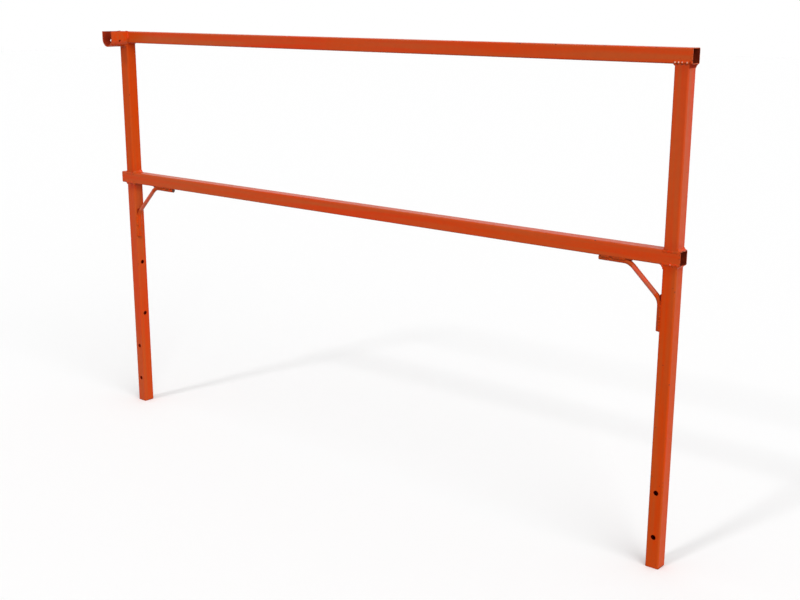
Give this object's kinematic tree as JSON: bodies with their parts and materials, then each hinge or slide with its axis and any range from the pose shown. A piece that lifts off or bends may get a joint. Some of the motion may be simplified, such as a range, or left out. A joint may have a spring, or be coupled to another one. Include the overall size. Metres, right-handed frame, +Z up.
{
  "type": "trestle guard rail",
  "caption": "Welded square-tube side guard rail with top and mid rail, two legs for a trestle's sockets, knee braces and a U socket for an end rail.",
  "frame": {"origin": "midway between the two legs, level with their bottom ends, on the mid-plane of the tubes", "axes": "+X along the rails towards the end without the socket, -Y the front face that the socket stands out from, +Z up"},
  "size_m": [2.268, 0.1112, 1.4025],
  "materials": {
    "tube_paint": "semi-gloss orange enamel with runs and chips",
    "brace_paint": "semi-gloss orange enamel",
    "socket_paint": "semi-gloss orange enamel",
    "weld_paint": "orange enamel over rippled weld beads"
  },
  "bodies": {
    "root": {"top_rail": "tube_paint", "mid_rail": "tube_paint", "left_upper_post": "tube_paint", "right_upper_post": "tube_paint", "left_leg": "tube_paint", "right_leg": "tube_paint", "left_knee_brace": "brace_paint", "right_knee_brace": "brace_paint", "end_rail_socket": "socket_paint", "socket_left_weld": "weld_paint", "socket_right_weld": "weld_paint", "socket_bottom_weld": "weld_paint", "left_top_rail_weld": "weld_paint", "left_mid_rail_upper_weld": "weld_paint", "left_mid_rail_lower_weld": "weld_paint", "left_brace_rail_welds": "weld_paint", "left_brace_leg_welds": "weld_paint", "right_top_rail_weld": "weld_paint", "right_mid_rail_upper_weld": "weld_paint", "right_mid_rail_lower_weld": "weld_paint", "right_brace_rail_welds": "weld_paint", "right_brace_leg_welds": "weld_paint"}
  },
  "joints": []
}
